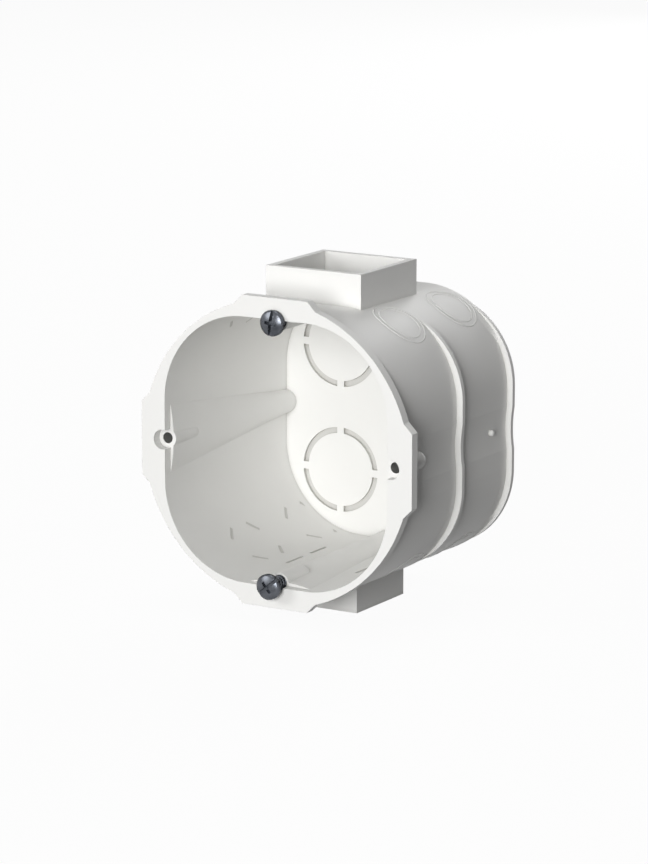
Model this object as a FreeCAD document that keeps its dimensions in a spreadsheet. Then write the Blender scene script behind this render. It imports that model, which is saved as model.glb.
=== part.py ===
# Flush-mounting device box with a square coupling socket on top and a square spigot below
# Frame: X to the right seen from the front, Y into the wall, Z up, origin at the middle of the front face
import FreeCAD, Part
import Sketcher
import math
import os

# Driving sizes in millimetres, angles in degrees
SIZES = {
    # front flange with its four edge tabs
    "flange_radius": 35.0,
    "flange_thick": 2.4,
    "tab_reach": 35.5,
    "tab_half": 8.5,
    "tab_chamfer": 3.0,
    # wall, a rounded rectangle whose corner arcs share their centres from front to back
    "box_depth": 53.9,
    "corner_x": 8.0,
    "corner_z": 9.3,
    "outer_front_radius": 22.65,
    "outer_rear_radius": 22.4,
    "mouth_radius": 21.3,
    "inner_rear_radius": 21.0,
    "back_thick": 1.5,
    # crescent ribs outside, halfway back and at the rear rim
    "rib_corner_x": 12.0,
    "rib_corner_z": 9.9,
    "rib_radius": 20.0,
    "rib_front": 28.9,
    "rib_thick": 1.2,
    "rim_corner_x": 11.8,
    "rim_radius": 20.0,
    "rim_thick": 1.1,
    # shallow hollow along the middle of each side, outside
    "waist_half": 5.0,
    "waist_depth": 0.4,
    # screw posts
    "screw_circle": 30.0,
    "post_radius": 2.2,
    "post_end": 13.5,
    "notch_radius": 2.3,
    "post_hole_radius": 1.25,
    "post_hole_end": 12.6,
    # ridges inside, behind the posts
    "ridge_half_front": 8.0,
    "ridge_rise_front": 0.85,
    "ridge_half_rear": 2.75,
    "ridge_rise_rear": 2.7,
    "ridge_root": 0.5,
    # square coupling tubes above and below
    "tube_y": 29.15,
    "tube_reach": 39.4,
    "tube_floor": 31.3,
    "socket_width": 25.0,
    "socket_wall": 1.6,
    "coupling_clearance": 0.3,
    "spigot_wall": 1.45,
    # scored passages between the box and the tubes
    "score_half_wide": 9.25,
    "score_half_deep": 10.6,
    "score_width": 0.7,
    "score_skin": 0.4,
    "score_bridge": 3.4,
    # scored knockouts in the back wall
    "knockout_x": 14.1,
    "knockout_z": 15.1,
    "knockout_radius": 9.5,
    "groove_width": 1.4,
    "groove_depth": 0.8,
    "groove_bridge": 1.8,
    # small pip on the right side near the back
    "pip_y": 45.5,
    "pip_radius": 0.65,
    "pip_proud": 0.35,
    # device screws
    "screw_radius": 1.7,
    "screw_clearance": 0.05,
    "screw_length": 12.0,
    "screw_tip": 0.9,
    "screw_tip_radius": 0.9,
    "head_radius": 2.95,
    "head_rim": 0.9,
    "head_dome": 0.7,
    "slot_width": 0.8,
    "slot_depth": 0.9,
    "cross_half": 1.5,
    "cross_width": 0.7,
    "cross_depth": 1.1,
    "upper_gap": 0.3,
    "upper_turn": 8.0,
    "lower_gap": 2.0,
    "lower_turn": 50.0,
}

doc = FreeCAD.newDocument("MountingBox")
sheet = doc.addObject("Spreadsheet::Sheet", "Sizes")
for row, (alias, number) in enumerate(SIZES.items(), start=1):
    sheet.set(f"A{row}", alias)
    sheet.set(f"B{row}", str(number))
    sheet.setAlias(f"B{row}", alias)
doc.recompute()

ORIGIN_POINT = (-1, 1)
START, END, CENTRE = 1, 2, 3
UP = FreeCAD.Vector(0, 0, 1)


# Sketch helpers: every dimension is a sheet expression
def origin_part(body, role):
    return next(part for part in body.Origin.OriginFeatures if part.Role == role)


def value(holder, size):
    return float(holder.evalExpression(size))


def new_body(name):
    body = doc.addObject("PartDesign::Body", name)
    body.Label = name
    return body


def new_sketch(body, name, role, turn=0, **offsets):
    sketch = body.newObject("Sketcher::SketchObject", name)
    sketch.AttachmentSupport = [(origin_part(body, role), "")]
    sketch.MapMode = "FlatFace"
    sketch.AttachmentOffset = FreeCAD.Placement(FreeCAD.Vector(), FreeCAD.Rotation(UP, turn))
    for axis, size in offsets.items():
        sketch.setExpression(f"AttachmentOffset.Base.{axis}", size)
    return sketch


def dimension(sketch, kind, *where, size):
    index = sketch.addConstraint(Sketcher.Constraint(kind, *where, value(sketch, size)))
    sketch.setExpression(f"Constraints[{index}]", size)


def place_point(sketch, curve, end, across, along):
    dimension(sketch, "DistanceX", *ORIGIN_POINT, curve, end, size=across)
    dimension(sketch, "DistanceY", *ORIGIN_POINT, curve, end, size=along)


def point(sketch, across, along):
    return FreeCAD.Vector(value(sketch, across), value(sketch, along), 0)


def join(sketch, first, first_end, second, second_end):
    sketch.addConstraint(Sketcher.Constraint("Coincident", first, first_end, second, second_end))


def line_between(sketch, first, first_end, second, second_end):
    start = sketch.getPoint(first, first_end)
    finish = sketch.getPoint(second, second_end)
    line = sketch.addGeometry(Part.LineSegment(start, finish))
    join(sketch, line, START, first, first_end)
    join(sketch, line, END, second, second_end)
    return line


def polygon(sketch, corners):
    count = len(corners)
    spots = [point(sketch, *corner) for corner in corners]
    lines = [
        sketch.addGeometry(Part.LineSegment(spots[i], spots[(i + 1) % count]))
        for i in range(count)
    ]
    for i in range(count):
        join(sketch, lines[i], END, lines[(i + 1) % count], START)
        place_point(sketch, lines[i], START, *corners[i])


def rectangle(sketch, half_across, half_along):
    polygon(sketch, [
        (f"-({half_across})", f"-({half_along})"),
        (half_across, f"-({half_along})"),
        (half_across, half_along),
        (f"-({half_across})", half_along),
    ])


def circle(sketch, across, along, radius):
    ring = Part.Circle(point(sketch, across, along), UP, value(sketch, radius))
    index = sketch.addGeometry(ring)
    place_point(sketch, index, CENTRE, across, along)
    dimension(sketch, "Radius", index, size=radius)


def arc(sketch, centre, radius, start, finish):
    ring = Part.Circle(centre, UP, radius)
    return sketch.addGeometry(Part.ArcOfCircle(ring, math.radians(start), math.radians(finish)))


def bowed_arc(sketch, first, last, chord_half, rise, outward):
    # arc over a chord between two placed points, bulging or hollowed by its rise
    radius_size = f"(({chord_half}) ^ 2 + ({rise}) ^ 2) / (2 * ({rise}))"
    radius = value(sketch, radius_size)
    start = point(sketch, *first)
    finish = point(sketch, *last)
    middle = (start + finish) * 0.5
    centre = middle - outward * (radius - value(sketch, rise))
    begin = math.degrees(math.atan2(start.y - centre.y, start.x - centre.x))
    stop = math.degrees(math.atan2(finish.y - centre.y, finish.x - centre.x))
    index = arc(sketch, centre, radius, begin, stop if stop > begin else stop + 360)
    place_point(sketch, index, START, *first)
    place_point(sketch, index, END, *last)
    dimension(sketch, "Radius", index, size=radius_size)
    return index


def corner_arc(sketch, centre_x, centre_z, radius, quarter):
    centre = point(sketch, centre_x, centre_z)
    index = arc(sketch, centre, value(sketch, radius), quarter * 90, quarter * 90 + 90)
    place_point(sketch, index, CENTRE, centre_x, centre_z)
    dimension(sketch, "Radius", index, size=radius)
    kinds = ("Horizontal", "Vertical") if quarter % 2 == 0 else ("Vertical", "Horizontal")
    sketch.addConstraint(Sketcher.Constraint(kinds[0], index, CENTRE, index, START))
    sketch.addConstraint(Sketcher.Constraint(kinds[1], index, CENTRE, index, END))
    return index


def rounded_outline(sketch, centre_x, centre_z, radius, waisted=False):
    signs = [(1, 1), (-1, 1), (-1, -1), (1, -1)]
    corners = [
        corner_arc(sketch, f"{sx} * ({centre_x})", f"{sz} * ({centre_z})", radius, quarter)
        for quarter, (sx, sz) in enumerate(signs)
    ]
    line_between(sketch, corners[0], END, corners[1], START)
    line_between(sketch, corners[2], END, corners[3], START)
    for before, after, side in ((corners[1], corners[2], -1), (corners[3], corners[0], 1)):
        if not waisted:
            line_between(sketch, before, END, after, START)
            continue
        face = f"{side} * ({centre_x} + {radius})"
        above = (face, "Sizes.waist_half")
        below = (face, "-Sizes.waist_half")
        # the hollow is drawn anticlockwise about its own centre, which lies outside the wall
        first, last = (above, below) if side > 0 else (below, above)
        inward = FreeCAD.Vector(-side, 0, 0)
        hollow = bowed_arc(sketch, first, last, "Sizes.waist_half", "Sizes.waist_depth", inward)
        line_between(sketch, before, END, hollow, END)
        line_between(sketch, hollow, START, after, START)


# Feature helpers
def finish_feature(feature, sketch):
    sketch.Visibility = False
    doc.recompute()
    return feature


def pad(body, name, sketch, length, reverse=False):
    feature = body.newObject("PartDesign::Pad", name)
    feature.Profile = sketch
    feature.setExpression("Length", length)
    feature.Reversed = reverse
    return finish_feature(feature, sketch)


def pocket(body, name, sketch, length, reverse=False):
    feature = body.newObject("PartDesign::Pocket", name)
    feature.Profile = sketch
    feature.setExpression("Length", length)
    feature.Reversed = reverse
    return finish_feature(feature, sketch)


def loft(body, name, kind, first, last):
    feature = body.newObject(f"PartDesign::{kind}Loft", name)
    feature.Profile = first
    feature.Sections = [last]
    feature.Ruled = True
    last.Visibility = False
    return finish_feature(feature, first)


def revolve(body, name, kind, sketch):
    feature = body.newObject(f"PartDesign::{kind}", name)
    feature.Profile = sketch
    feature.ReferenceAxis = (sketch, ["V_Axis"])
    feature.Angle = 360
    return finish_feature(feature, sketch)


def mirrored(body, name, originals, role):
    feature = body.newObject("PartDesign::Mirrored", name)
    feature.Originals = originals
    feature.MirrorPlane = (origin_part(body, role), [""])
    body.Tip = feature
    doc.recompute()
    return feature


def around_y(body, name, originals, copies):
    feature = body.newObject("PartDesign::PolarPattern", name)
    feature.Originals = originals
    feature.Axis = (origin_part(body, "Y_Axis"), [""])
    feature.Angle = 360
    feature.Occurrences = copies
    body.Tip = feature
    doc.recompute()
    return feature


# The box: wall, flange and ribs as solid forms first
box = new_body("box_body")

wall_front = new_sketch(box, "WallFront", "XZ_Plane")
rounded_outline(wall_front, "Sizes.corner_x", "Sizes.corner_z", "Sizes.outer_front_radius", True)
wall_rear = new_sketch(box, "WallRear", "XZ_Plane", z="-Sizes.box_depth")
rounded_outline(wall_rear, "Sizes.corner_x", "Sizes.corner_z", "Sizes.outer_rear_radius", True)
loft(box, "Wall", "Additive", wall_front, wall_rear)

flange_sketch = new_sketch(box, "FlangeOutline", "XZ_Plane")
circle(flange_sketch, "0", "0", "Sizes.flange_radius")
pad(box, "Flange", flange_sketch, "Sizes.flange_thick", reverse=True)


def tab_outline(sketch):
    # bar across the flange whose ends are the tabs with their chamfered corners
    end, half = "Sizes.tab_reach", "Sizes.tab_half"
    inner = "(Sizes.tab_reach - Sizes.tab_chamfer)"
    outer_half = "(Sizes.tab_half + Sizes.tab_chamfer)"
    polygon(sketch, [
        (end, f"-{half}"), (end, half), (inner, outer_half), (f"-{inner}", outer_half),
        (f"-{end}", half), (f"-{end}", f"-{half}"), (f"-{inner}", f"-{outer_half}"),
        (inner, f"-{outer_half}"),
    ])


side_tabs_sketch = new_sketch(box, "SideTabsOutline", "XZ_Plane")
tab_outline(side_tabs_sketch)
pad(box, "SideTabs", side_tabs_sketch, "Sizes.flange_thick", reverse=True)

top_tabs_sketch = new_sketch(box, "TopTabsOutline", "XZ_Plane", turn=90)
tab_outline(top_tabs_sketch)
pad(box, "TopTabs", top_tabs_sketch, "Sizes.flange_thick", reverse=True)

rib_sketch = new_sketch(box, "RibOutline", "XZ_Plane", z="-Sizes.rib_front")
rounded_outline(rib_sketch, "Sizes.rib_corner_x", "Sizes.rib_corner_z", "Sizes.rib_radius", True)
pad(box, "MiddleRib", rib_sketch, "Sizes.rib_thick", reverse=True)

rim_sketch = new_sketch(box, "RimOutline", "XZ_Plane", z="-Sizes.box_depth")
rounded_outline(rim_sketch, "Sizes.rim_corner_x", "Sizes.rib_corner_z", "Sizes.rim_radius", True)
pad(box, "RearRim", rim_sketch, "Sizes.rim_thick")

# Square tubes above and below, rooted in the wall
TUBE_ROOT = "(Sizes.corner_z + Sizes.inner_rear_radius)"
SOCKET_HALF = "Sizes.socket_width / 2"
BORE_HALF = "(Sizes.socket_width / 2 - Sizes.socket_wall)"
SPIGOT_HALF = f"({BORE_HALF} - Sizes.coupling_clearance)"

socket_sketch = new_sketch(box, "SocketOutline", "XY_Plane", y="Sizes.tube_y", z=TUBE_ROOT)
rectangle(socket_sketch, SOCKET_HALF, SOCKET_HALF)
pad(box, "Socket", socket_sketch, f"Sizes.tube_reach - {TUBE_ROOT}")

spigot_sketch = new_sketch(box, "SpigotOutline", "XY_Plane", y="Sizes.tube_y", z=f"-{TUBE_ROOT}")
rectangle(spigot_sketch, SPIGOT_HALF, SPIGOT_HALF)
pad(box, "Spigot", spigot_sketch, f"Sizes.tube_reach - {TUBE_ROOT}", reverse=True)

# The cavity opens at the front and leaves the back wall
mouth_sketch = new_sketch(box, "MouthOutline", "XZ_Plane")
rounded_outline(mouth_sketch, "Sizes.corner_x", "Sizes.corner_z", "Sizes.mouth_radius")
BACK_INSIDE = "(Sizes.box_depth - Sizes.back_thick)"
floor_sketch = new_sketch(box, "CavityRear", "XZ_Plane", z=f"-{BACK_INSIDE}")
rounded_outline(floor_sketch, "Sizes.corner_x", "Sizes.corner_z", "Sizes.inner_rear_radius")
loft(box, "Cavity", "Subtractive", mouth_sketch, floor_sketch)


# Ridges inside: wide and flat at the front, narrow and round at the back
def ridge_outline(sketch, face, half, rise):
    near = (face, half)
    far = (face, f"-{half}")
    crest = bowed_arc(sketch, near, far, half, rise, FreeCAD.Vector(-1, 0, 0))
    root = f"({face} + Sizes.ridge_root)"
    low = sketch.addGeometry(Part.LineSegment(point(sketch, root, f"-{half}"), point(sketch, root, half)))
    place_point(sketch, low, START, root, f"-{half}")
    place_point(sketch, low, END, root, half)
    line_between(sketch, crest, END, low, START)
    line_between(sketch, low, END, crest, START)


def ridge(name, turn, corner, mirror_role):
    front = new_sketch(box, f"{name}Front", "XZ_Plane", turn=turn, z="-Sizes.flange_thick")
    ridge_outline(front, f"({corner} + Sizes.mouth_radius)", "Sizes.ridge_half_front", "Sizes.ridge_rise_front")
    rear = new_sketch(box, f"{name}Rear", "XZ_Plane", turn=turn, z=f"-{BACK_INSIDE}")
    ridge_outline(rear, f"({corner} + Sizes.inner_rear_radius)", "Sizes.ridge_half_rear", "Sizes.ridge_rise_rear")
    body_loft = loft(box, name, "Additive", front, rear)
    mirrored(box, f"{name}Pair", [body_loft], mirror_role)


ridge("SideRidge", 0, "Sizes.corner_x", "YZ_Plane")
ridge("TopRidge", 90, "Sizes.corner_z", "XY_Plane")

# Screw posts with a round end, one at each quarter of the screw circle
post_sketch = new_sketch(box, "PostProfile", "XY_Plane", x="Sizes.screw_circle")
shoulder = "(Sizes.post_end - Sizes.post_radius)"
post_round = arc(post_sketch, point(post_sketch, "0", shoulder), value(post_sketch, "Sizes.post_radius"), 0, 90)
place_point(post_sketch, post_round, CENTRE, "0", shoulder)
dimension(post_sketch, "Radius", post_round, size="Sizes.post_radius")
post_sketch.addConstraint(Sketcher.Constraint("Horizontal", post_round, CENTRE, post_round, START))
post_sketch.addConstraint(Sketcher.Constraint("Vertical", post_round, CENTRE, post_round, END))
face_line = post_sketch.addGeometry(Part.LineSegment(
    point(post_sketch, "0", "Sizes.flange_thick"),
    point(post_sketch, "Sizes.post_radius", "Sizes.flange_thick"),
))
place_point(post_sketch, face_line, START, "0", "Sizes.flange_thick")
place_point(post_sketch, face_line, END, "Sizes.post_radius", "Sizes.flange_thick")
line_between(post_sketch, face_line, END, post_round, START)
line_between(post_sketch, post_round, END, face_line, START)
post = revolve(box, "Post", "Revolution", post_sketch)
around_y(box, "Posts", [post], 4)

# Notches in the flange in front of the posts, then the holes
notch_sketch = new_sketch(box, "NotchOutline", "XZ_Plane")
circle(notch_sketch, "Sizes.screw_circle", "0", "Sizes.notch_radius")
notch = pocket(box, "Notch", notch_sketch, "Sizes.flange_thick")
around_y(box, "Notches", [notch], 4)

POST_HOLE_DEPTH = "Sizes.post_hole_end - Sizes.flange_thick"
empty_holes_sketch = new_sketch(box, "EmptyHoles", "XZ_Plane", z="-Sizes.flange_thick")
circle(empty_holes_sketch, "Sizes.screw_circle", "0", "Sizes.post_hole_radius")
circle(empty_holes_sketch, "-Sizes.screw_circle", "0", "Sizes.post_hole_radius")
pocket(box, "SidePostHoles", empty_holes_sketch, POST_HOLE_DEPTH)

screwed_holes_sketch = new_sketch(box, "ScrewedHoles", "XZ_Plane", z="-Sizes.flange_thick")
SCREWED_RADIUS = "Sizes.screw_radius + Sizes.screw_clearance"
circle(screwed_holes_sketch, "0", "Sizes.screw_circle", SCREWED_RADIUS)
circle(screwed_holes_sketch, "0", "-Sizes.screw_circle", SCREWED_RADIUS)
pocket(box, "ScrewPostHoles", screwed_holes_sketch, POST_HOLE_DEPTH)

# The tubes are open at their ends and closed by a skin at the wall
bore_sketch = new_sketch(box, "SocketBore", "XY_Plane", y="Sizes.tube_y", z="Sizes.tube_reach")
rectangle(bore_sketch, BORE_HALF, BORE_HALF)
pocket(box, "SocketOpening", bore_sketch, "Sizes.tube_reach - Sizes.tube_floor")

spigot_bore_sketch = new_sketch(box, "SpigotBore", "XY_Plane", y="Sizes.tube_y", z="-Sizes.tube_reach")
SPIGOT_BORE_HALF = f"{SPIGOT_HALF} - Sizes.spigot_wall"
rectangle(spigot_bore_sketch, SPIGOT_BORE_HALF, SPIGOT_BORE_HALF)
pocket(
    box,
    "SpigotOpening",
    spigot_bore_sketch,
    "Sizes.tube_reach - Sizes.tube_floor",
    reverse=True,
)


# Scored knockouts in the back wall, four arcs each with bridges between
def groove_ring(sketch, radius, width, bridge):
    inner = f"({radius} - {width} / 2)"
    outer = f"({radius} + {width} / 2)"
    for quarter, (sx, sz) in enumerate([(1, 1), (-1, 1), (-1, -1), (1, -1)]):
        arcs = []
        for ring in (inner, outer):
            radius_now = value(sketch, ring)
            offset = math.degrees(math.asin(value(sketch, bridge) / 2 / radius_now))
            index = arc(sketch, FreeCAD.Vector(), radius_now, quarter * 90 + offset, quarter * 90 + 90 - offset)
            join(sketch, index, CENTRE, *ORIGIN_POINT)
            dimension(sketch, "Radius", index, size=ring)
            low, high = (START, END) if quarter % 2 == 0 else (END, START)
            dimension(sketch, "DistanceY", *ORIGIN_POINT, index, low, size=f"{sz} * {bridge} / 2")
            dimension(sketch, "DistanceX", *ORIGIN_POINT, index, high, size=f"{sx} * {bridge} / 2")
            arcs.append(index)
        line_between(sketch, arcs[0], START, arcs[1], START)
        line_between(sketch, arcs[0], END, arcs[1], END)


for name, height in (("Upper", "Sizes.knockout_z"), ("Lower", "-Sizes.knockout_z")):
    groove = new_sketch(
        box, f"{name}KnockoutGroove", "XZ_Plane",
        x="Sizes.knockout_x", y=height, z=f"-{BACK_INSIDE}",
    )
    groove_ring(groove, "Sizes.knockout_radius", "Sizes.groove_width", "Sizes.groove_bridge")
    knockout = pocket(box, f"{name}Knockout", groove, "Sizes.groove_depth")
    mirrored(box, f"{name}Knockouts", [knockout], "YZ_Plane")

# Scored dashes around the passages into the tubes, cut from inside the box
SCORE_DEPTH = f"Sizes.tube_floor - Sizes.score_skin - {TUBE_ROOT}"


def score_dashes(sketch):
    half = "Sizes.score_width / 2"
    for side in (1, -1):
        for step in (1, -1):
            near = f"{step} * Sizes.score_bridge / 2"
            far = f"{step} * (Sizes.score_half_deep - Sizes.score_bridge / 2)"
            left = f"{side} * Sizes.score_half_wide - {half}"
            right = f"{side} * Sizes.score_half_wide + {half}"
            polygon(sketch, [(left, near), (right, near), (right, far), (left, far)])


score_sketch = new_sketch(box, "PassageScore", "XY_Plane", y="Sizes.tube_y", z=TUBE_ROOT)
score_dashes(score_sketch)
score = pocket(box, "TopScore", score_sketch, SCORE_DEPTH, reverse=True)
mirrored(box, "Scores", [score], "XY_Plane")

# Pip on the right side near the back
pip_sketch = new_sketch(box, "PipOutline", "YZ_Plane", z="Sizes.corner_x + Sizes.inner_rear_radius")
circle(pip_sketch, "Sizes.pip_y", "0", "Sizes.pip_radius")
WAIST_REAR = "(Sizes.outer_rear_radius - Sizes.waist_depth - Sizes.inner_rear_radius)"
pad(box, "Pip", pip_sketch, f"{WAIST_REAR} + Sizes.pip_proud")


# Device screws: pan head with a slot and a cross, shank with a short point
def device_screw(name, side, gap, turn):
    body = new_body(name)
    profile = new_sketch(body, f"{name}_profile", "XY_Plane")
    head_front = "-(Sizes.head_rim + Sizes.head_dome)"
    radius = "(Sizes.head_radius ^ 2 + Sizes.head_dome ^ 2) / (2 * Sizes.head_dome)"
    centre_y = f"{head_front} + {radius}"
    centre = point(profile, "0", centre_y)
    reach = math.degrees(math.asin(value(profile, "Sizes.head_radius") / value(profile, radius)))
    dome = arc(profile, centre, value(profile, radius), 270, 270 + reach)
    place_point(profile, dome, START, "0", head_front)
    place_point(profile, dome, END, "Sizes.head_radius", "-Sizes.head_rim")
    profile.addConstraint(Sketcher.Constraint("Vertical", dome, CENTRE, dome, START))
    corners = [
        ("Sizes.head_radius", "0"),
        ("Sizes.screw_radius", "0"),
        ("Sizes.screw_radius", "Sizes.screw_length - Sizes.screw_tip"),
        ("Sizes.screw_tip_radius", "Sizes.screw_length"),
        ("0", "Sizes.screw_length"),
    ]
    last, last_end = dome, END
    for corner in corners:
        line = profile.addGeometry(Part.LineSegment(profile.getPoint(last, last_end), point(profile, *corner)))
        join(profile, last, last_end, line, START)
        place_point(profile, line, END, *corner)
        last, last_end = line, END
    line_between(profile, last, END, dome, START)
    revolve(body, f"{name}_form", "Revolution", profile)
    slot_sketch = new_sketch(body, f"{name}_slot", "XZ_Plane", z=f"-({head_front})")
    rectangle(slot_sketch, "Sizes.slot_width / 2", "Sizes.head_radius")
    pocket(body, f"{name}_slot_cut", slot_sketch, "Sizes.slot_depth")
    cross_sketch = new_sketch(body, f"{name}_cross", "XZ_Plane", z=f"-({head_front})")
    rectangle(cross_sketch, "Sizes.cross_half", "Sizes.cross_width / 2")
    pocket(body, f"{name}_cross_cut", cross_sketch, "Sizes.cross_depth")
    body.Placement = FreeCAD.Placement(FreeCAD.Vector(), FreeCAD.Rotation(FreeCAD.Vector(0, 1, 0), 0))
    body.setExpression("Placement.Base.y", f"-Sizes.{gap}")
    body.setExpression("Placement.Base.z", f"{side} * Sizes.screw_circle")
    body.setExpression("Placement.Rotation", f"rotation(vector(0; 1; 0); Sizes.{turn})")
    doc.recompute()
    return body


upper_screw = device_screw("upper_screw", 1, "upper_gap", "upper_turn")
lower_screw = device_screw("lower_screw", -1, "lower_gap", "lower_turn")

# Check the document, then write one file for each piece
doc.recompute()
for item in doc.Objects:
    if "Invalid" in item.State or "Error" in item.State:
        raise RuntimeError(f"{item.Label} failed: {item.State}")

os.makedirs("parts", exist_ok=True)
for piece in (box, upper_screw, lower_screw):
    shape = piece.Shape
    if shape.isNull() or not shape.isValid() or len(shape.Solids) != 1:
        raise RuntimeError(f"{piece.Label} has no single valid solid")
    print(piece.Label, round(shape.Volume, 1), "mm3", shape.BoundBox)
    shape.exportStep(f"parts/{piece.Label}.step")
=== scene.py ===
# Mounting box: white moulded device box with two zinc-plated screws, on a pale studio floor
# Sizes are in metres unless a note says millimetres
import math

import bmesh
import bpy
from mathutils import Matrix, Vector
from mathutils.bvhtree import BVHTree


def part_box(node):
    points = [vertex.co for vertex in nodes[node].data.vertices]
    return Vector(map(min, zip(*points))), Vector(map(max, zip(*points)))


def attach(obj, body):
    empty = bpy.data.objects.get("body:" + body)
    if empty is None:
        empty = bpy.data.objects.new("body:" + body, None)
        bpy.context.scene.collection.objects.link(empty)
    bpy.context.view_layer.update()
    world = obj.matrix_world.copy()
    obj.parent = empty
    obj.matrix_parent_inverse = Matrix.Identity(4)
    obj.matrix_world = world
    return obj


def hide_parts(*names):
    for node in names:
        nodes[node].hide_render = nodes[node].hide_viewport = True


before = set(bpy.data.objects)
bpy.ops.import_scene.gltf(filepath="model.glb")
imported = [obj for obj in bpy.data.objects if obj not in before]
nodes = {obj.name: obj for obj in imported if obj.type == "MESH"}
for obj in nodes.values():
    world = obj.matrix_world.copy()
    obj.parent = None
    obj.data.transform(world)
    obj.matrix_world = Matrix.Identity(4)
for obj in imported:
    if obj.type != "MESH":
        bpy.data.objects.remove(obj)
print("frame loaded:", sorted(nodes))


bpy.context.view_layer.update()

perMetre = 1000.0  # millimetres in a metre
cornerSides = ((1, 1), (-1, 1), (-1, -1), (1, -1))  # the four corners of the box: sideways, upwards


# Node maths: a wrapped socket, so that it reads like ordinary maths
class Wire:
    def __init__(self, sheet, socket):
        self.sheet = sheet
        self.socket = socket

    def maths(self, operation, other, swapped=False):
        first, second = (other, self) if swapped else (self, other)
        return self.sheet.node("ShaderNodeMath", {"operation": operation}, {0: first, 1: second})

    def __add__(self, other):
        return self.maths("ADD", other)

    def __radd__(self, other):
        return self.maths("ADD", other, True)

    def __sub__(self, other):
        return self.maths("SUBTRACT", other)

    def __rsub__(self, other):
        return self.maths("SUBTRACT", other, True)

    def __mul__(self, other):
        return self.maths("MULTIPLY", other)

    def __rmul__(self, other):
        return self.maths("MULTIPLY", other, True)

    def __truediv__(self, other):
        return self.maths("DIVIDE", other)

    def __pow__(self, other):
        return self.maths("POWER", other)

    def __abs__(self):
        return self.maths("ABSOLUTE", 0.0)


class NodeSheet:
    def __init__(self, tree):
        self.tree = tree

    def node(self, kind, settings=None, inputs=None, output=0):
        made = self.tree.nodes.new(kind)
        for name, setting in (settings or {}).items():
            setattr(made, name, setting)
        for name, value in (inputs or {}).items():
            if isinstance(value, Wire):
                self.tree.links.new(value.socket, made.inputs[name])
            else:
                made.inputs[name].default_value = value
        return Wire(self, made.outputs[output]) if len(made.outputs) else None


def newMaterial(name):
    material = bpy.data.materials.new(name)
    material.use_nodes = True
    material.node_tree.nodes.clear()
    return material, NodeSheet(material.node_tree)


def grey(level):
    return (level, level, level, 1)


def noise(sheet, place, size, detail, distortion=0.0):
    inputs = {"Vector": place, "Scale": size, "Detail": detail, "Distortion": distortion}
    return sheet.node("ShaderNodeTexNoise", {}, inputs)


def mixColours(sheet, share, first, second):
    # on a colour Mix node the colours are sockets 6 and 7 and the result is socket 2
    return sheet.node("ShaderNodeMix", {"data_type": "RGBA"}, {0: share, 6: first, 7: second}, 2)


def fade(sheet, value, full, gone):
    # 1 up to full, smoothly down to 0 at gone
    return sheet.node(
        "ShaderNodeMapRange",
        {"interpolation_type": "SMOOTHSTEP"},
        {"Value": value, "From Min": full, "From Max": gone, "To Min": 1.0, "To Max": 0.0},
    )


def rise(sheet, value, gone, full):
    # 0 up to gone, smoothly up to 1 at full
    return 1 - fade(sheet, value, gone, full)


def distance(first, second):
    return (first ** 2 + second ** 2) ** 0.5


# White moulded plastic: faint cloudiness, a fine spark-eroded grain and slightly softened edges, with painted
# shade in crevices, in the inside marks and back-wall grooves and in the two empty post holes
plasticLook = {
    "colour": (0.87, 0.868, 0.85, 1),
    "shade": (0.83, 0.826, 0.805, 1),
    # painted shade colour for crevices, inside marks and back-wall grooves
    "paintedShade": (0.50, 0.49, 0.46, 1),
    # painted shade colour for the inside of the two empty post holes
    "deep": (0.26, 0.26, 0.25, 1),
    "cloudSize": 70.0,
    "cloudDetail": 3.0,
    "cloudShare": 0.4,
    "flowSize": 18.0,
    "flowDetail": 2.0,
    "flowTwist": 1.5,
    "flowShare": 0.4,
    # the next five sizes set the painted shade in crevices, inside marks and back-wall grooves
    "creviceReach": 0.0012,
    "crevicePaintedShade": 0.9,
    "unshadedMargin": 0.1,
    "markPaintedShade": 0.7,
    "groovePaintedShade": 0.4,
    "roughness": 0.42,
    "roughnessSpread": 0.12,
    "ior": 1.46,
    "specular": 0.30,
    "grainSize": 5200.0,
    "grainDetail": 2.0,
    "grainHeight": 0.000012,
    "grainStrength": 0.5,
    "edgeRadius": 0.00010,
    "raySamples": 6,
}

# Places of the scores in millimetres: rings outside and short marks inside on the four slanting walls,
# each drawn about the axis of a corner arc, the grooves cut in the back wall and the two empty post holes.
# The inside marks, the back-wall grooves and the post holes are darkened with painted shade
scoreLook = {
    "cornerAcross": 8.0,
    "cornerUp": 9.3,
    "angle": 59.0,
    "frontDepth": 22.2,
    "rearDepth": 46.0,
    "wallMiddle": 21.8,
    "markRadius": 6.4,
    "markHalfWidth": 0.28,
    "markHalfLength": 1.8,
    "markDepth": 0.25,
    "markEnd": 50.0,
    "markEndSoftness": 0.2,
    "markSoftness": 0.15,
    "backAcross": 14.1,
    "backUp": 15.1,
    "backDepth": 52.45,
    "backEnd": 53.4,
    "backInner": 8.75,
    "backOuter": 10.25,
    "holeAcross": 30.0,
    "holeRadius": 1.27,
    "holeSoftness": 0.04,
    "holeStart": 0.25,
    "holeStartSoftness": 0.5,
    "holeEnd": 12.8,
    "softEdge": 0.05,
}


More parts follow.
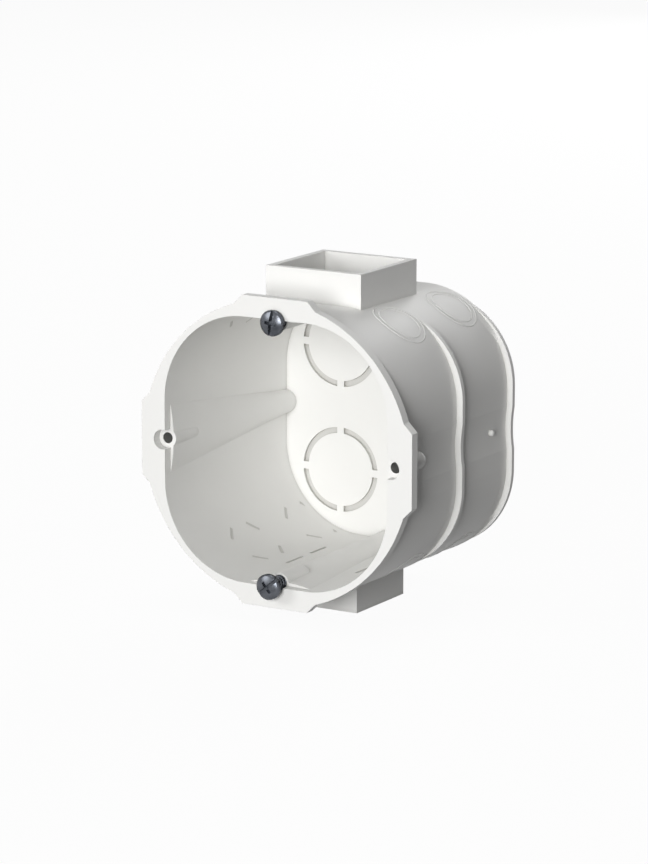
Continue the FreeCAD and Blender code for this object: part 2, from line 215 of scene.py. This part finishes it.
def markMask(sheet, across, depth, up):
    # short strokes across the four diagonals of each knockout, on the inner face of the wall
    look = scoreLook
    lean = math.radians(look["angle"])
    right = across - look["cornerAcross"]
    high = up - look["cornerUp"]
    wall, soft = look["wallMiddle"], look["softEdge"]
    inside = fade(sheet, distance(right, high), wall - soft, wall + soft)
    inside = inside * fade(sheet, depth, look["markEnd"], look["markEnd"] + look["markEndSoftness"])
    around = abs(high * math.cos(lean) - right * math.sin(lean))
    middle = (look["frontDepth"] + look["rearDepth"]) / 2
    along = abs(abs(depth - middle) - (look["rearDepth"] - middle))
    slanted = math.sqrt(0.5)  # turns the two distances by 45 degrees, on to the diagonal
    alongDiagonal = abs((around + along) * slanted - look["markRadius"])
    offDiagonal = abs((around - along) * slanted)
    blur = look["markSoftness"]
    mark = fade(sheet, alongDiagonal, look["markHalfWidth"], look["markHalfWidth"] + blur) * inside
    return mark * fade(sheet, offDiagonal, look["markHalfLength"], look["markHalfLength"] + blur)


# the ring grooves in the back wall, which get painted shade
def grooveMask(sheet, across, depth, up):
    look = scoreLook
    soft = look["softEdge"]
    fromMiddle = distance(across - look["backAcross"], up - look["backUp"])
    groove = fade(sheet, fromMiddle, look["backOuter"], look["backOuter"] + soft)
    groove = groove * rise(sheet, fromMiddle, look["backInner"] - soft, look["backInner"])
    groove = groove * rise(sheet, depth, look["backDepth"], look["backDepth"] + soft)
    return groove * fade(sheet, depth, look["backEnd"], look["backEnd"] + soft)


# the inside of the two empty post holes, which is painted as shade
def holeMask(sheet, across, depth, up):
    look = scoreLook
    fromMiddle = distance(across - look["holeAcross"], up)
    hole = fade(sheet, fromMiddle, look["holeRadius"], look["holeRadius"] + look["holeSoftness"])
    hole = hole * rise(sheet, depth, look["holeStart"], look["holeStart"] + look["holeStartSoftness"])
    return hole * fade(sheet, depth, look["holeEnd"], look["holeEnd"] + look["softEdge"])


def scoreMasks(sheet, place):
    # the box is alike in its four corners, so one corner in millimetres serves for all
    scaled = sheet.node("ShaderNodeVectorMath", {"operation": "SCALE"}, {0: place, "Scale": perMetre})
    folded = sheet.node("ShaderNodeVectorMath", {"operation": "ABSOLUTE"}, {0: scaled})
    spot = [sheet.node("ShaderNodeSeparateXYZ", {}, {"Vector": folded}, axis) for axis in ("X", "Y", "Z")]
    return markMask(sheet, *spot), grooveMask(sheet, *spot), holeMask(sheet, *spot)


def makePlastic():
    look = plasticLook
    material, sheet = newMaterial("boxPlastic")
    place = sheet.node("ShaderNodeTexCoord", output="Object")
    cloud = noise(sheet, place, look["cloudSize"], look["cloudDetail"])
    flow = noise(sheet, place, look["flowSize"], look["flowDetail"], look["flowTwist"])
    grain = noise(sheet, place, look["grainSize"], look["grainDetail"])
    mark, groove, hole = scoreMasks(sheet, place)

    tint = cloud * look["cloudShare"] + flow * look["flowShare"]
    colour = mixColours(sheet, tint, look["colour"], look["shade"])
    rays = {"samples": look["raySamples"]}
    # painted shade: crevices and corners darkened where ambient occlusion finds surfaces close by
    openness = sheet.node("ShaderNodeAmbientOcclusion", rays, {"Distance": look["creviceReach"]}, "AO")
    paintedShadeShare = (1 - openness) * look["crevicePaintedShade"] - look["unshadedMargin"]
    # painted shade: the scored marks inside and the grooves in the back wall are darkened as well
    paintedShadeShare = paintedShadeShare + mark * look["markPaintedShade"] + groove * look["groovePaintedShade"]
    colour = mixColours(sheet, paintedShadeShare, colour, look["paintedShade"])
    # painted shade: the inside of the two empty post holes painted near black
    colour = mixColours(sheet, hole, colour, look["deep"])

    edge = sheet.node("ShaderNodeBevel", rays, {"Radius": look["edgeRadius"]})
    skin = sheet.node(
        "ShaderNodeBump",
        {},
        {"Strength": look["grainStrength"], "Distance": look["grainHeight"], "Height": grain, "Normal": edge},
    )
    surface = sheet.node(
        "ShaderNodeBump",
        {},
        {
            "Strength": 1.0,
            "Distance": 1 / perMetre,
            "Height": mark * -scoreLook["markDepth"],
            "Normal": skin,
        },
    )
    shader = sheet.node(
        "ShaderNodeBsdfPrincipled",
        {},
        {
            "Base Color": colour,
            "Roughness": look["roughness"] + (cloud - 0.5) * look["roughnessSpread"],
            "Normal": surface,
            "IOR": look["ior"],
            "Specular IOR Level": look["specular"],
        },
    )
    sheet.node("ShaderNodeOutputMaterial", {}, {"Surface": shader})
    return material


# Zinc-plated steel of the screws
steelLook = {
    "colour": (0.022, 0.025, 0.031, 1),
    "bright": (0.17, 0.18, 0.20, 1),
    "roughness": 0.27,
    "roughnessSpread": 0.2,
    "streakSize": (500.0, 120.0, 500.0),
    "streakDetail": 4.0,
    "streakHeight": 0.00002,
    "streakStrength": 0.4,
}


def makeSteel():
    look = steelLook
    material, sheet = newMaterial("screwSteel")
    place = sheet.node("ShaderNodeTexCoord", output="Object")
    drawn = sheet.node("ShaderNodeVectorMath", {"operation": "MULTIPLY"}, {0: place, 1: look["streakSize"]})
    streak = noise(sheet, drawn, 1.0, look["streakDetail"])
    surface = sheet.node(
        "ShaderNodeBump",
        {},
        {"Strength": look["streakStrength"], "Distance": look["streakHeight"], "Height": streak},
    )
    shader = sheet.node(
        "ShaderNodeBsdfPrincipled",
        {},
        {
            "Base Color": mixColours(sheet, streak, look["colour"], look["bright"]),
            "Metallic": 1.0,
            "Roughness": look["roughness"] + (streak - 0.5) * look["roughnessSpread"],
            "Normal": surface,
        },
    )
    sheet.node("ShaderNodeOutputMaterial", {}, {"Surface": shader})
    return material


def dress(piece, material):
    piece.data.materials.clear()
    piece.data.materials.append(material)


plastic = makePlastic()
steel = makeSteel()
dress(nodes["box_body"], plastic)
dress(nodes["upper_screw"], steel)
dress(nodes["lower_screw"], steel)
print("materials set")


def newObject(name, data):
    thing = bpy.data.objects.new(name, data)
    bpy.context.scene.collection.objects.link(thing)
    return thing


def newTree(name, source, sizes, result):
    # an empty Geometry Nodes tree, and the identifier of each of its named sizes
    tree = bpy.data.node_groups.new(name, "GeometryNodeTree")
    tree.interface.new_socket(source, in_out="INPUT", socket_type="NodeSocketGeometry")
    ports = {}
    for size, value in sizes.items():
        port = tree.interface.new_socket(size, in_out="INPUT", socket_type="NodeSocketFloat")
        port.default_value = value
        ports[size] = port.identifier
    tree.interface.new_socket(result, in_out="OUTPUT", socket_type="NodeSocketGeometry")
    return tree, ports


def runTree(piece, tree, sizes, material):
    # the piece takes the tree's result as its own plain mesh, all of one material
    layer = piece.modifiers.new(tree.name, "NODES")
    layer.node_group = tree
    for identifier, size in sizes.items():
        layer[identifier] = size
    bpy.context.view_layer.update()
    graph = bpy.context.evaluated_depsgraph_get()
    finished = bpy.data.meshes.new_from_object(piece.evaluated_get(graph))
    piece.modifiers.clear()
    piece.data = finished
    dress(piece, material)
    for face in finished.polygons:
        face.material_index = 0


def skinRows(form, rows):
    # a closed tube of quads from row to row, with a face over each end
    for before, after in zip(rows, rows[1:]):
        for edge in range(len(before)):
            following = (edge + 1) % len(before)
            form.faces.new((before[edge], before[following], after[following], after[edge]))
    form.faces.new(rows[0])
    form.faces.new(rows[-1])


def meshOf(form, name):
    bmesh.ops.recalc_face_normals(form, faces=form.faces)
    mesh = bpy.data.meshes.new(name)
    form.to_mesh(mesh)
    form.free()
    return mesh


# Device screws: the solid's head and point, a thinner core and a rolled thread round it
threadLook = {
    "length": 0.012,
    "shankRadius": 0.0017,
    "coreRadius": 0.00138,
    "crestRadius": 0.00173,
    "pitch": 0.0011,
    "ridge": 0.00026,
    "ridgeSides": 6,
    "turnSteps": 28,
    "start": 0.00025,
    "end": 0.0112,
    "neckExtra": 0.00034,
    "neckLength": 0.0020,
    "pointLength": 0.0012,
    "pointWidth": 0.6,
    "weld": 0.000001,
    "seatSlack": 0.00001,
    "shankSlack": 1.01,
}


def threadTree(material):
    # the tree adds a helical ridge to the screw that it is given, wider at the neck and narrower at the point
    look = threadLook
    sizes = {
        "Helix Radius": look["crestRadius"] - look["ridge"],
        "Ridge": look["ridge"],
        "Pitch": look["pitch"],
        "Thread Length": look["end"] - look["start"],
        "Start": 0.0,
        "Axis Height": 0.0,
    }
    tree, ports = newTree("screwThread", "Screw", sizes, "Threaded")
    sheet = NodeSheet(tree)

    def port(name):
        return sheet.node("NodeGroupInput", output=name)

    spiral = sheet.node(
        "GeometryNodeCurveSpiral",
        {},
        {
            "Resolution": look["turnSteps"],
            "Rotations": port("Thread Length") / port("Pitch"),
            "Start Radius": port("Helix Radius"),
            "End Radius": port("Helix Radius"),
            "Height": port("Thread Length"),
        },
    )
    spot = sheet.node("GeometryNodeInputPosition")
    height = sheet.node("ShaderNodeSeparateXYZ", {}, {"Vector": spot}, "Z")
    neck = (1 - height / look["neckLength"]).maths("MAXIMUM", 0.0)
    point = ((port("Thread Length") - height) / look["pointLength"]).maths("MINIMUM", 1.0)
    spread = 1 + neck * (look["neckExtra"] / look["crestRadius"])
    spread = spread * (look["pointWidth"] + point * (1 - look["pointWidth"]))
    widened = sheet.node("ShaderNodeCombineXYZ", {}, {"X": spread, "Y": spread, "Z": 1.0})
    moved = sheet.node("ShaderNodeVectorMath", {"operation": "MULTIPLY"}, {0: spot, 1: widened})
    shaped = sheet.node("GeometryNodeSetPosition", {}, {"Geometry": spiral, "Position": moved})
    section = sheet.node(
        "GeometryNodeCurvePrimitiveCircle",
        {"mode": "RADIUS"},
        {"Resolution": look["ridgeSides"], "Radius": port("Ridge")},
    )
    ridge = sheet.node(
        "GeometryNodeCurveToMesh", {}, {"Curve": shaped, "Profile Curve": section, "Fill Caps": True}
    )
    home = sheet.node("ShaderNodeCombineXYZ", {}, {"Y": port("Start"), "Z": port("Axis Height")})
    seated = sheet.node(
        "GeometryNodeTransform",
        {},
        {"Geometry": ridge, "Translation": home, "Rotation": (-math.pi / 2, 0, 0)},
    )
    both = sheet.node("GeometryNodeJoinGeometry", {}, {0: seated})
    tree.links.new(port("Screw").socket, both.socket.node.inputs[0])
    whole = sheet.node("GeometryNodeRealizeInstances", {}, {"Geometry": both})
    dressed = sheet.node("GeometryNodeSetMaterial", {}, {"Geometry": whole, "Material": material})
    sheet.node("NodeGroupOutput", {}, {"Threaded": dressed})
    return tree, ports


def makeThreadedScrew(nodeName, bodyName, tree, ports):
    look = threadLook
    low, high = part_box(nodeName)
    seat = high.y - look["length"]  # underside of the head
    axisHeight = (low.z + high.z) / 2
    mesh = nodes[nodeName].data.copy()
    form = bmesh.new()
    form.from_mesh(mesh)
    bmesh.ops.remove_doubles(form, verts=form.verts, dist=look["weld"])
    slim = look["coreRadius"] / look["shankRadius"]
    for vertex in form.verts:
        away = math.hypot(vertex.co.x, vertex.co.z - axisHeight)
        if vertex.co.y > seat - look["seatSlack"] and away < look["shankRadius"] * look["shankSlack"]:
            vertex.co.x *= slim
            vertex.co.z = axisHeight + (vertex.co.z - axisHeight) * slim
    form.to_mesh(mesh)
    form.free()
    screw = newObject(nodeName + "_threaded", mesh)
    runTree(screw, tree, {ports["Start"]: seat + look["start"], ports["Axis Height"]: axisHeight}, steel)
    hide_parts(nodeName)
    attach(screw, bodyName)


screwTree, screwPorts = threadTree(steel)
makeThreadedScrew("upper_screw", "upper_screw_body", screwTree, screwPorts)
makeThreadedScrew("lower_screw", "lower_screw_body", screwTree, screwPorts)
print("screws threaded")


# Corner lobes of the rear rim: the wall flares out almost to a circle about the middle of the box
lobeLook = {
    "reach": 0.0348,
    "topReach": 0.03426,
    "fallStart": 0.5,
    "fallPower": 1.5,
    "firstAngle": 34.5,
    "lastAngle": 61.8,
    "wallRadius": 0.0219,
    "wallFirst": 24.0,
    "wallLast": 71.0,
    "thick": 0.0010,
    "flare": 0.0105,
    "inset": 0.00002,
    "steps": 48,
}


def makeRimLobes():
    look = lobeLook
    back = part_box("box_body")[1].y - look["inset"]
    front = back - look["thick"]
    centre = (scoreLook["cornerAcross"] / perMetre, scoreLook["cornerUp"] / perMetre)
    form = bmesh.new()
    for sideways, upwards in cornerSides:
        rows = []
        for step in range(look["steps"] + 1):
            share = step / look["steps"]
            outer = math.radians(look["firstAngle"] + share * (look["lastAngle"] - look["firstAngle"]))
            inner = math.radians(look["wallFirst"] + share * (look["wallLast"] - look["wallFirst"]))
            fall = max(0.0, share - look["fallStart"]) / (1 - look["fallStart"])
            reach = look["reach"] + (look["topReach"] - look["reach"]) * fall ** look["fallPower"]
            slope = look["thick"] + (look["flare"] - look["thick"]) * math.sin(math.pi * share) ** 2
            far = (reach * math.cos(outer), reach * math.sin(outer))
            near = (
                centre[0] + look["wallRadius"] * math.cos(inner),
                centre[1] + look["wallRadius"] * math.sin(inner),
            )
            section = (
                (near[0], back - slope, near[1]),
                (far[0], front, far[1]),
                (far[0], back, far[1]),
                (near[0], back, near[1]),
            )
            rows.append([form.verts.new((sideways * x, y, upwards * z)) for x, y, z in section])
        skinRows(form, rows)
    lobes = newObject("rearRimLobes", meshOf(form, "rearRimLobes"))
    dress(lobes, plastic)
    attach(lobes, "box")
    return lobes


rimLobes = makeRimLobes()
print("rim lobes made")


# Scored rings outside: thin beads that lie on the slanting walls, two round each knockout
beadLook = {
    "rings": (0.0052, 0.0065),
    "beadRadius": 0.00017,
    "beadSides": 8,
    "sink": 0.00003,
    "steps": 72,
    "rayStart": 0.045,
}


def beadTree(material):
    # the tree lays a round bead along each closed path
    tree, ports = newTree("scoreBeads", "Paths", {"Bead Radius": beadLook["beadRadius"]}, "Beads")
    sheet = NodeSheet(tree)
    given = sheet.node("NodeGroupInput", output="Paths")
    radius = sheet.node("NodeGroupInput", output="Bead Radius")
    paths = sheet.node("GeometryNodeMeshToCurve", {}, {"Mesh": given})
    section = sheet.node(
        "GeometryNodeCurvePrimitiveCircle",
        {"mode": "RADIUS"},
        {"Resolution": beadLook["beadSides"], "Radius": radius},
    )
    beads = sheet.node("GeometryNodeCurveToMesh", {}, {"Curve": paths, "Profile Curve": section})
    smooth = sheet.node("GeometryNodeSetShadeSmooth", {}, {0: beads})
    whole = sheet.node("GeometryNodeRealizeInstances", {}, {"Geometry": smooth})
    dressed = sheet.node("GeometryNodeSetMaterial", {}, {"Geometry": whole, "Material": material})
    sheet.node("NodeGroupOutput", {}, {"Beads": dressed})
    return tree, ports


def castableSurfaces(pieces):
    graph = bpy.context.evaluated_depsgraph_get()
    return [BVHTree.FromObject(piece, graph) for piece in pieces]


def outermostHit(surfaces, start, inward):
    # the place and the outward direction of the first surface that a ray meets
    hits = [surface.ray_cast(start, inward) for surface in surfaces]
    place, outward, _, _ = min((hit for hit in hits if hit[0] is not None), key=lambda hit: hit[3])
    return place, outward


def makeScoreBeads(tree, ports):
    look = beadLook
    surfaces = castableSurfaces((nodes["box_body"], rimLobes))
    lean = math.radians(scoreLook["angle"])
    points, edges = [], []
    for sideways, upwards in cornerSides:
        outward = Vector((sideways * math.cos(lean), 0, upwards * math.sin(lean)))
        aside = Vector((-sideways * math.sin(lean), 0, upwards * math.cos(lean)))
        axis = Vector((sideways * scoreLook["cornerAcross"], 0, upwards * scoreLook["cornerUp"])) / perMetre
        for depth in (scoreLook["frontDepth"] / perMetre, scoreLook["rearDepth"] / perMetre):
            for ring in look["rings"]:
                first = len(points)
                for step in range(look["steps"]):
                    turn = 2 * math.pi * step / look["steps"]
                    start = axis + outward * look["rayStart"] + aside * ring * math.sin(turn)
                    start.y = depth + ring * math.cos(turn)
                    place, wallOutward = outermostHit(surfaces, start, -outward)
                    points.append(place - wallOutward * look["sink"])
                    edges.append((first + step, first + (step + 1) % look["steps"]))
    mesh = bpy.data.meshes.new("scoreRings")
    mesh.from_pydata(points, edges, [])
    beads = newObject("scoreRings", mesh)
    runTree(beads, tree, {ports["Bead Radius"]: look["beadRadius"]}, plastic)
    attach(beads, "box")


makeScoreBeads(*beadTree(plastic))
print("score rings laid")


# Small moulded pip on the right side, rounded over the solid's own pip
pipLook = {
    "depth": 0.0455,
    "height": 0.0,
    "reach": 0.045,
    "segments": 28,
    "profile": [  # distance out from the wall, radius
        (-0.0004, 0.00076), (0.00055, 0.00070), (0.00078, 0.00063), (0.00092, 0.00048), (0.00100, 0.00025),
    ],
}


def makeSidePip():
    look = pipLook
    besidePip = look["profile"][0][1] * 2  # two foot radii off, where the wall is bare
    start = Vector((look["reach"], look["depth"] - besidePip, look["height"]))
    foot, _ = outermostHit(castableSurfaces((nodes["box_body"],)), start, Vector((-1, 0, 0)))
    turns = [2 * math.pi * step / look["segments"] for step in range(look["segments"])]
    form = bmesh.new()
    rings = []
    for out, radius in look["profile"]:
        ring = []
        for turn in turns:
            deep = look["depth"] + radius * math.cos(turn)
            high = look["height"] + radius * math.sin(turn)
            ring.append(form.verts.new((foot.x + out, deep, high)))
        rings.append(ring)
    skinRows(form, rings)
    for face in form.faces:
        face.smooth = len(face.verts) == 4  # the two end faces stay flat
    pip = newObject("sidePip", meshOf(form, "sidePip"))
    dress(pip, plastic)
    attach(pip, "box")


makeSidePip()
print("side pip made")


# Studio: pale floor under the spigot, white surroundings and soft lamps, most of the light from the front
studio = {
    "floorHalf": 6.0,
    "floorColour": 0.15,
    "floorSeen": 1.0,
    "floorGlow": 0.95,
    "ambient": 0.05,
    "middle": (0, 0.025, 0),
    "lampDistance": 1.2,
    "lampSize": 0.5,
    "lamps": {  # degrees round from the front, degrees up, watts
        "frontLamp": (15, 9.5, 11.8),
        "leftLamp": (-40, 20, 3.9),
        "topLamp": (0, 85, 2.0),
        "backLamp": (180, 40, 2.0),
        "rearLamp": (188, 8, 7.0),
    },
}


def seenRays(sheet):
    # 1 for what the camera sees, straight or in a mirror or through glass
    kinds = ("Is Camera Ray", "Is Glossy Ray", "Is Transmission Ray")
    seen, mirrored, through = (sheet.node("ShaderNodeLightPath", output=kind) for kind in kinds)
    return seen + mirrored + through


def awayFromMiddle(around, above):
    # the direction from the object's middle that many degrees round from the front and up
    turn, lift = math.radians(around), math.radians(above)
    return Vector((math.sin(turn) * math.cos(lift), -math.cos(turn) * math.cos(lift), math.sin(lift)))


def makeFloor():
    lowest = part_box("box_body")[0].z
    half = studio["floorHalf"]
    mesh = bpy.data.meshes.new("studioFloor")
    corners = [(-half, -half, lowest), (half, -half, lowest), (half, half, lowest), (-half, half, lowest)]
    mesh.from_pydata(corners, [], [(0, 1, 2, 3)])
    floor = newObject("studioFloor", mesh)
    material, sheet = newMaterial("floorPaper")
    looked = seenRays(sheet)
    shade = mixColours(sheet, looked, grey(studio["floorColour"]), grey(studio["floorSeen"]))
    paper = sheet.node("ShaderNodeBsdfDiffuse", {}, {"Color": shade})
    glow = sheet.node("ShaderNodeEmission", {}, {"Color": grey(1.0), "Strength": 1.0})
    share = looked * studio["floorGlow"]
    mixed = sheet.node("ShaderNodeMixShader", {}, {0: share, 1: paper, 2: glow})
    sheet.node("ShaderNodeOutputMaterial", {}, {"Surface": mixed})
    mesh.materials.append(material)


def makeWorld():
    world = bpy.data.worlds.new("studioAir")
    world.use_nodes = True
    world.node_tree.nodes.clear()
    bpy.context.scene.world = world
    sheet = NodeSheet(world.node_tree)
    white = seenRays(sheet)
    strength = white + (1 - white) * studio["ambient"]
    air = sheet.node("ShaderNodeBackground", {}, {"Color": grey(1.0), "Strength": strength})
    sheet.node("ShaderNodeOutputWorld", {}, {"Surface": air})


def makeLamps():
    for name, (around, above, power) in studio["lamps"].items():
        away = awayFromMiddle(around, above)
        lamp = bpy.data.lights.new(name, "AREA")
        lamp.energy = power
        lamp.size = studio["lampSize"]
        holder = newObject(name, lamp)
        holder.location = Vector(studio["middle"]) + away * studio["lampDistance"]
        holder.rotation_euler = away.to_track_quat("Z", "Y").to_euler()
        holder.visible_camera = False


makeFloor()
makeWorld()
makeLamps()
print("studio set")

# Camera at the photograph's angle: angles in degrees, the frame and its centre in the photograph's pixels
view = {
    "azimuth": 30.99,
    "elevation": 12.15,
    "roll": 0.12,
    "distance": 0.93442,
    "frameAcross": 648,
    "frameDown": 864,
    "focalPixels": 4083.7,
    "centreAcross": 331.88,
    "centreDown": 434.43,
    "target": (0, 0.025, 0),
    "sensorMillimetres": 36,
    "nearest": 0.01,
    "farthest": 50,
}


def makeCamera():
    back = awayFromMiddle(view["azimuth"], view["elevation"])
    turn, roll = math.radians(view["azimuth"]), math.radians(view["roll"])
    right = Vector((math.cos(turn), math.sin(turn), 0))
    up = back.cross(right)
    sideways = right * math.cos(roll) + up * math.sin(roll)
    upward = up * math.cos(roll) - right * math.sin(roll)
    data = bpy.data.cameras.new("photoCamera")
    data.sensor_fit = "VERTICAL"
    data.sensor_height = view["sensorMillimetres"]
    data.lens = view["focalPixels"] / view["frameDown"] * view["sensorMillimetres"]
    data.shift_x = -(view["centreAcross"] - view["frameAcross"] / 2) / view["frameDown"]
    data.shift_y = (view["centreDown"] - view["frameDown"] / 2) / view["frameDown"]
    data.clip_start = view["nearest"]
    data.clip_end = view["farthest"]
    camera = newObject("photoCamera", data)
    turned = Matrix((sideways, upward, back)).transposed().to_4x4()
    camera.matrix_world = Matrix.Translation(Vector(view["target"]) + back * view["distance"]) @ turned
    bpy.context.scene.camera = camera


makeCamera()
bpy.context.scene.view_settings.view_transform = "Standard"
print("camera set")
